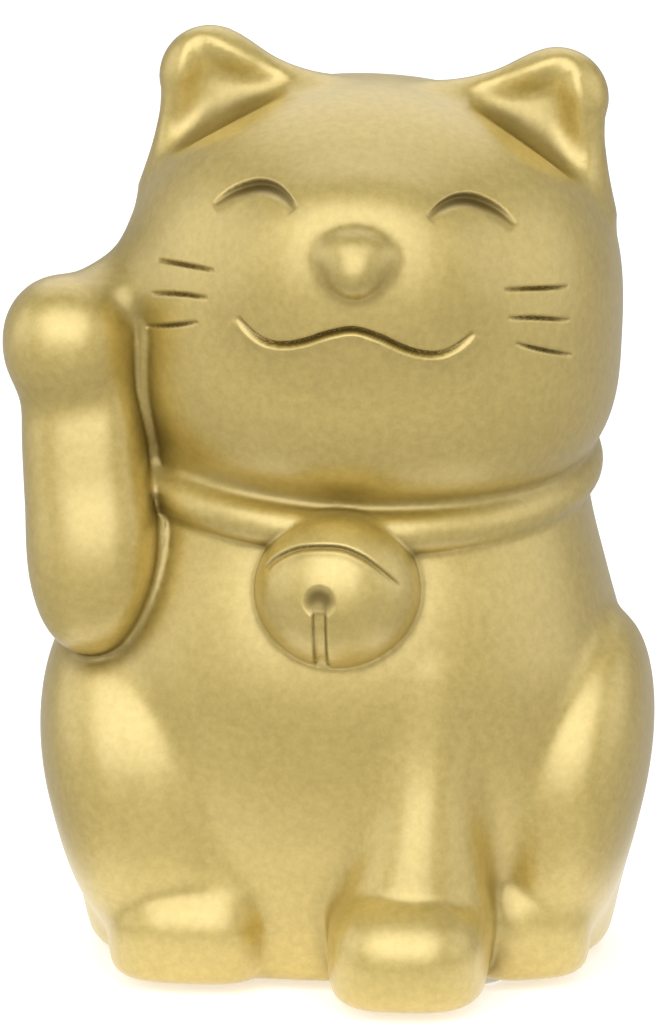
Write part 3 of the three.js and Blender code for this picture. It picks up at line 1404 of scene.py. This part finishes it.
@dataclass(frozen=True)
class Turned:
    """A round part, turned to a profile.

    Attributes:
        profile: rows of height and radius, from the bottom up.
        dish: how far in from its rim a dish starts in its lower face, and how deep it is.
        sides: how many flat sides the cylinder has that it is turned from.
        blank_radius: the cylinder's radius.
    """

    name: str
    profile: tuple[tuple[float, float], ...]
    dish: tuple[float, float] = (0.0, 0.0)
    sides: int = 96
    blank_radius: float = 10.0

    def made(self, foot: Point) -> bpy.types.Object:
        """Turns the part from a cylinder that stands on foot.

        Args:
            foot: the middle of its lower face, in millimetres.

        Returns:
            The part.
        """
        heights = [row[0] for row in self.profile]
        low, high = heights[0], heights[-1]
        middle = (foot[0], foot[1], foot[2] + (low + high) / 2)
        bpy.ops.object.select_all(action="DESELECT")
        bpy.ops.mesh.primitive_cylinder_add(
            vertices=self.sides, radius=self.blank_radius * MM, depth=(high - low) * MM,
            location=to_world(middle),
        )
        part = bpy.context.object
        part.name = part.data.name = self.name
        place_in_mesh(part)
        for height in heights[1:-1]:
            cut_level(part, foot[2] + height)
        points = read_points(part)
        radius = np.interp(points[:, 2] - foot[2], heights, [row[1] for row in self.profile])
        centre = np.array(foot[:2])
        points[:, :2] = centre + (points[:, :2] - centre) * radius[:, None] / self.blank_radius
        write_points(part, points)
        if self.dish[1] > 0:
            self.dished(part)
        return part

    def dished(self, part: bpy.types.Object) -> None:
        """Presses the dish into the lower face.

        Args:
            part: the part.
        """
        only(part)
        down = [face.normal.z < -0.9 and len(face.vertices) > 8 for face in part.data.polygons]
        part.data.polygons.foreach_set("select", down)
        bpy.ops.object.mode_set(mode="EDIT")
        bpy.ops.mesh.select_mode(type="FACE")
        bpy.ops.mesh.inset(thickness=self.dish[0] * MM)
        bpy.ops.mesh.inset(thickness=0.5 * MM, depth=-self.dish[1] * MM)
        bpy.ops.object.mode_set(mode="OBJECT")


@dataclass(frozen=True)
class Fittings:
    """The rubber parts under the cat: the stopper in its drain hole, and four pads."""

    rubber: bpy.types.Material

    def build(self) -> None:
        """Makes the stopper and the pads."""
        low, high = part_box("stopper")
        flange = (high[0] - low[0]) / 2 / MM
        neck, tall = flange - 2.5, (high[2] - low[2]) / MM
        rim = ((0, flange - 0.4), (0.1, flange - 0.12), (0.3, flange), (1.3, flange), (1.5, flange - 0.12),
               (1.6, flange - 0.35), (1.65, neck))
        rib = ((0, 0), (0.2, 0.2), (0.6, 0.2), (0.8, 0))
        ribs = tuple((base + up, neck + out) for base in (3.6, 6.6) for up, out in rib)
        tip = ((tall - 1.2, neck), (tall - 0.5, neck - 0.3), (tall, neck - 1.0))
        plug = Turned("cat_stopper", rim + ribs + tip, (2.2, 0.6)).made((0, 0, low[2] / MM))
        dress(plug, self.rubber)
        settle(plug, ["stopper"], "stopper")
        for number in range(1, 5):
            low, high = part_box(f"foot_pad_{number}")
            radius, thick = (high[0] - low[0]) / 2 / MM, (high[2] - low[2]) / MM
            foot = (np.array([(low[0] + high[0]) / 2, (low[1] + high[1]) / 2, low[2]]) - OFFSET) / MM
            profile = ((0, radius - 0.45), (0.08, radius - 0.2), (0.3, radius), (thick, radius))
            pad = Turned(f"cat_foot_pad_{number}", profile, (0.9, 0.15)).made(tuple(foot))
            dress(pad, self.rubber)
            settle(pad, [f"foot_pad_{number}"], BODY)


@dataclass
class Casting:
    """The lacquered cat: one sculpted form, cut into the pieces that it is made of."""

    sculpture: Sculpture
    gold: bpy.types.Material
    coarse: float = 1.4
    fine: float = 0.85
    cutter_grain: float = 0.8
    hollow_grain: float = 2.0
    hollows: tuple[Egg, ...] = (Egg((0, 2, 35), (32.5, 24, 27)), Egg((3.4, 0, 90), (28, 24, 26)))
    recess_gap: float = 0.6
    recess_depth: float = 4.0
    hole_lip: float = 2.2
    hole_depth: float = 14.0

    def sculpted(self) -> bpy.types.Object:
        """Works the clay up from its blocks to the finished surface.

        Returns:
            The clay, all in one object.
        """
        clay = joined("clay", self.sculpture.forms())
        remeshed(clay, self.coarse)
        pressed(clay, self.sculpture.distance, 6, 0.5)
        remeshed(clay, self.fine)
        pressed(clay, self.sculpture.distance, 2, 0.4)
        divided(clay, self.sculpture.creased(clay, 22))
        pressed(clay, self.sculpture.distance, 2, 0.3)
        divided(clay, self.sculpture.marked(clay, 2.4))
        divided(clay, self.sculpture.marked(clay, 1.3))
        pressed(clay, self.sculpture.distance, 1, 0.3)
        self.sculpture.scored(clay)
        LOG.info("sculpted: %d faces", len(clay.data.polygons))
        return clay

    def cutter(self, luted: Luted) -> bpy.types.Object:
        """A closed cutter round a luted piece, which meets the surface at the bottom of the creases round it.

        Args:
            luted: which of the luted pieces.

        Returns:
            The cutter.
        """
        forms, apart = self.sculpture.own_clay(luted)
        made = joined("cutter", forms)
        remeshed(made, self.cutter_grain)
        pressed(made, apart, 8, 0.4)
        return made

    def finish(self, piece: bpy.types.Object, pattern: bpy.types.Object, nodes: Sequence[str]) -> None:
        """Dresses a cut piece, with the shading of the whole surface it was cut from.

        Args:
            piece: the cut piece.
            pattern: the whole surface, uncut.
            nodes: the CAD nodes that it stands for.
        """
        self.sculpture.note_creases(piece)
        dress(piece, self.gold)
        settle(piece, nodes, BODY)
        only(piece)
        shading = piece.modifiers.new("shading", "DATA_TRANSFER")
        shading.object = pattern
        shading.use_loop_data = True
        shading.data_types_loops = {"CUSTOM_NORMAL"}
        shading.loop_mapping = "POLYINTERP_NEAREST"
        bpy.ops.object.modifier_apply(modifier=shading.name)

    def hollowed(self, clay: bpy.types.Object) -> None:
        """Empties the cast, and opens the drain hole and the recess that the stopper sits in.

        Args:
            clay: the clay.
        """
        low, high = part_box("stopper")
        flange = (high[0] - low[0]) / 2 / MM
        inside = joined("inside", self.hollows)
        remeshed(inside, self.hollow_grain)
        wide, narrow = flange + self.recess_gap, flange - self.hole_lip
        recess = Turned("recess", ((-1.0, wide), (self.recess_depth, wide))).made((0, 0, 0))
        hole = Turned("hole", ((-1.0, narrow), (self.hole_depth, narrow))).made((0, 0, 0))
        for cutter in (inside, recess, hole):
            cut_with(clay, cutter, Cut.TAKE_AWAY)
        drop(inside, recess, hole)

    def build(self) -> None:
        """Makes every lacquered piece."""
        clay = self.sculpted()
        self.hollowed(clay)
        only(clay)
        bpy.ops.object.shade_smooth_by_angle(angle=CLAY_SMOOTHING)
        pattern = copied(clay, "pattern")
        for luted in Luted:
            cutter = self.cutter(luted)
            piece = copied(clay, f"cat_{luted.value}")
            cut_with(piece, cutter, Cut.KEEP_INSIDE)
            cut_with(clay, cutter, Cut.TAKE_AWAY)
            drop(cutter)
            self.finish(piece, pattern, [luted.value])
        clay.name = clay.data.name = "cat_body"
        self.finish(clay, pattern, ["body"])
        drop(pattern)


# ----------------------------------------------------------------------------------------
# Studio


@dataclass
class Studio:
    """A plain pale floor, soft lights and the camera.

    Attributes:
        azimuth: the camera's angle round the cat, 0 in front.
        elevation: its angle above level.
        distance: how far it stands from its target, in millimetres.
        target: the place that it looks at.
        view_height: how much it sees from top to bottom at the target.
        sensor: the height of its sensor.
        lamp_target: the place that the lights face.
        lamp_distance: how far they are from it, in metres.
        surround: how bright the surroundings are.
        lamps: each light's name, azimuth, elevation, size in metres and power in watts.
    """

    azimuth: float = 4.0
    elevation: float = 14.0
    distance: float = 4000.0
    target: Point = (-1.85, 0.0, 62.0)
    view_height: float = 140.3
    sensor: float = 24.0
    lamp_target: Point = (0.0, 0.0, 65.0)
    lamp_distance: float = 0.9
    surround: float = 0.42
    lamps: tuple[tuple[str, float, float, float, float], ...] = (
        ("key_light", -4, 35, 1.1, 7.4),
        ("left_light", -80, 15, 0.9, 2.1),
        ("right_light", 80, 15, 0.9, 1.8),
        ("back_light", 180, 50, 0.9, 2.2),
    )

    def direction(self, azimuth: float, elevation: float) -> Vector:
        """The unit vector from the cat towards an angle round it."""
        a, e = math.radians(azimuth), math.radians(elevation)
        return Vector((math.sin(a) * math.cos(e), -math.cos(a) * math.cos(e), math.sin(e)))

    def camera(self) -> None:
        """Adds the camera."""
        data = bpy.data.cameras.new("camera")
        view = bpy.data.objects.new("camera", data)
        bpy.context.collection.objects.link(view)
        aim = self.direction(self.azimuth, self.elevation)
        view.location = to_world(self.target) + aim * self.distance * MM
        view.rotation_euler = (-aim).to_track_quat("-Z", "Y").to_euler()
        data.sensor_fit = "VERTICAL"
        data.sensor_height = self.sensor
        data.lens = self.sensor * self.distance / self.view_height
        data.clip_end = 20
        bpy.context.scene.camera = view

    def light(self, name: str, azimuth: float, elevation: float, size: float, power: float) -> None:
        """Adds a square soft light that faces the cat from an angle.

        Args:
            name: what the light is called.
            azimuth: its angle round the cat, 0 in front.
            elevation: its angle above level.
            size: the length of its sides in metres.
            power: its power in watts.
        """
        data = bpy.data.lights.new(name, "AREA")
        data.shape = "SQUARE"
        data.size = size
        data.energy = power
        lamp = bpy.data.objects.new(name, data)
        bpy.context.collection.objects.link(lamp)
        aim = self.direction(azimuth, elevation)
        lamp.location = to_world(self.lamp_target) + aim * self.lamp_distance
        lamp.rotation_euler = (-aim).to_track_quat("-Z", "Y").to_euler()

    def build(self) -> None:
        """Sets the floor, lights, surroundings and camera."""
        bpy.ops.object.select_all(action="DESELECT")
        bpy.ops.mesh.primitive_plane_add(size=6, location=(0, 0, 0))
        floor = bpy.context.object
        floor.name = "floor"
        dress(floor, Paper().material())
        world = bpy.data.worlds.new("surroundings")
        world.use_nodes = True
        glow = world.node_tree.nodes["Background"]
        glow.inputs["Color"].default_value = (1, 1, 1, 1)
        glow.inputs["Strength"].default_value = self.surround
        bpy.context.scene.world = world
        for lamp in self.lamps:
            self.light(*lamp)
        bpy.context.scene.view_settings.view_transform = "Standard"
        self.camera()


# ----------------------------------------------------------------------------------------
# Putting it together


def main() -> None:
    """Builds the studio, the finishes and the cat's pieces."""
    logging.basicConfig(level=logging.INFO, format="%(name)s: %(message)s")
    Studio().build()
    Casting(Sculpture(), GoldLacquer().material()).build()
    Fittings(Rubber().material()).build()


if __name__ == "__main__":
    main()
